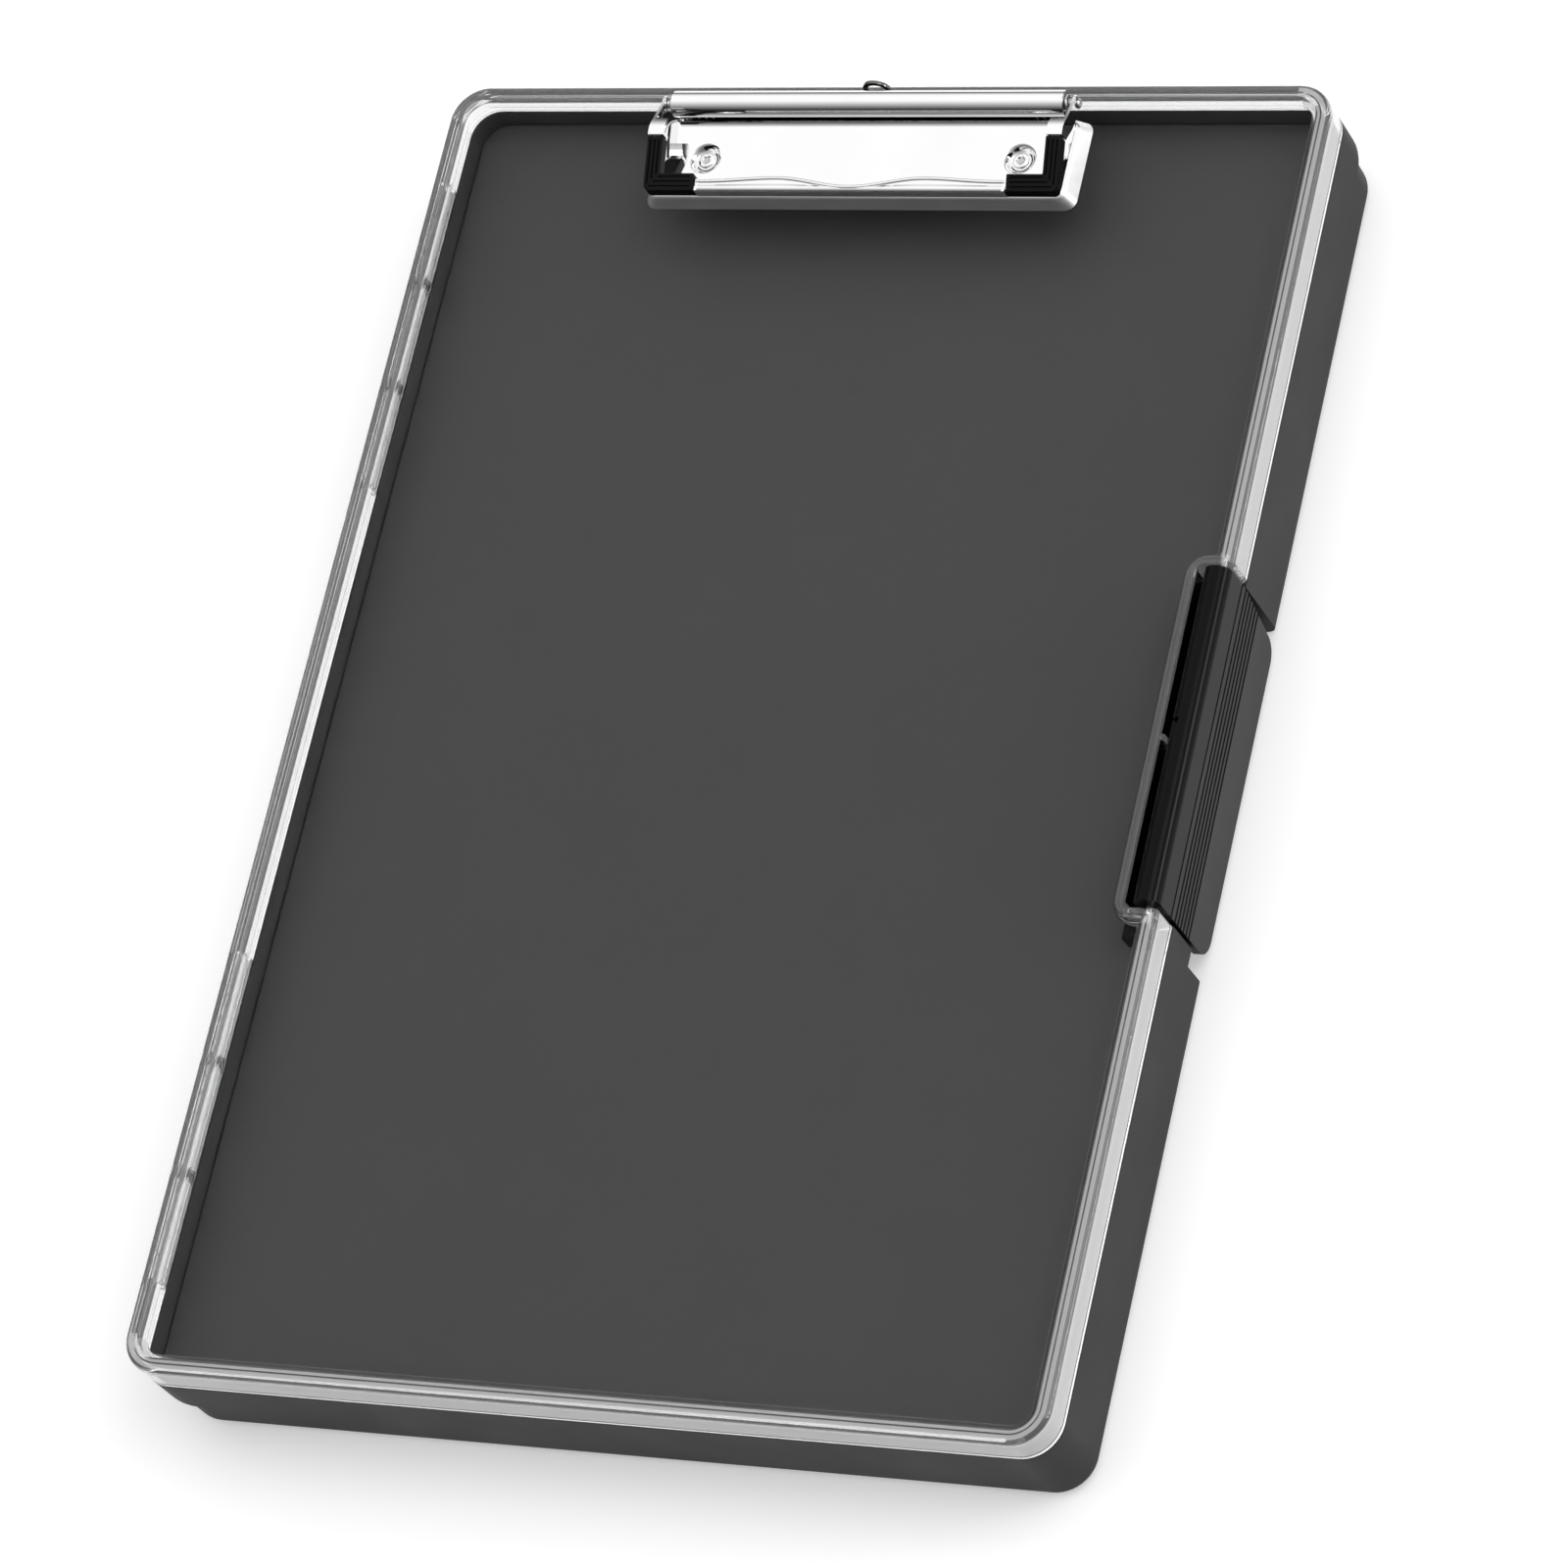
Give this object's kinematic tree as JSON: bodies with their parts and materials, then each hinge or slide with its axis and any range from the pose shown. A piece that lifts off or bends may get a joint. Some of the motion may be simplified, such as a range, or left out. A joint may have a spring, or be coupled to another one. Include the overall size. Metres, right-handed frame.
{
  "type": "storage clipboard",
  "caption": "Flat plastic storage case with a hinged clear lid, a side latch and a low sprung clip riveted to the lid for holding paper.",
  "frame": {"origin": "centre of the 240 by 350 mm outline, on the flat back face", "axes": "+X from the hinge side to the latch side, +Y towards the clip, +Z from the back up through the lid"},
  "size_m": [0.2443, 0.35, 0.0446],
  "materials": {
    "case_plastic": "fine satin texture, near black grey",
    "clear_plastic": "clear polished plastic",
    "latch_plastic": "black, satin gloss",
    "chrome": "bright plated steel sheet",
    "pin_steel": "plain drawn steel",
    "pad_rubber": "ribbed matt black rubber"
  },
  "bodies": {
    "case": {"base_tray": "case_plastic", "divider_deck": "case_plastic", "hinge_pin_upper": "pin_steel", "hinge_pin_lower": "pin_steel"},
    "lid": {"clear_lid": "clear_plastic", "latch_pin": "pin_steel", "clip_base_plate": "chrome", "jaw_pivot_rod": "pin_steel", "jaw_spring_right": "pin_steel", "jaw_spring_left": "pin_steel", "rivet_left": "chrome", "rivet_right": "chrome", "rivet_washer_left": "pin_steel", "rivet_washer_right": "pin_steel", "hang_tab_guide": "pin_steel"},
    "latch": {"latch_lever": "latch_plastic"},
    "jaw": {"clip_jaw": "chrome", "corner_pad_right": "pad_rubber", "corner_pad_left": "pad_rubber"},
    "hanger": {"hang_tab": "chrome"}
  },
  "joints": [
    {"name": "lid_hinge", "type": "hinge", "parent": "case", "child": "lid", "pos_m": [-0.1214, 0, 0.024], "axis": [0, -1, 0], "range_deg": [0, 180]},
    {"name": "latch_hinge", "type": "hinge", "parent": "lid", "child": "latch", "pos_m": [0.1168, 0, 0.0319], "axis": [0, -1, 0], "range_deg": [0, 60]},
    {"name": "jaw_hinge", "type": "hinge", "parent": "lid", "child": "jaw", "pos_m": [0, 0.1665, 0.0393], "axis": [-1, 0, 0], "range_deg": [0, 40], "stiffness_Nm_per_rad": 0.25, "springref_deg": -34.38},
    {"name": "hanger_slide", "type": "slide", "parent": "lid", "child": "hanger", "axis": [0, 1, 0], "range_m": [0, 0.014]}
  ]
}
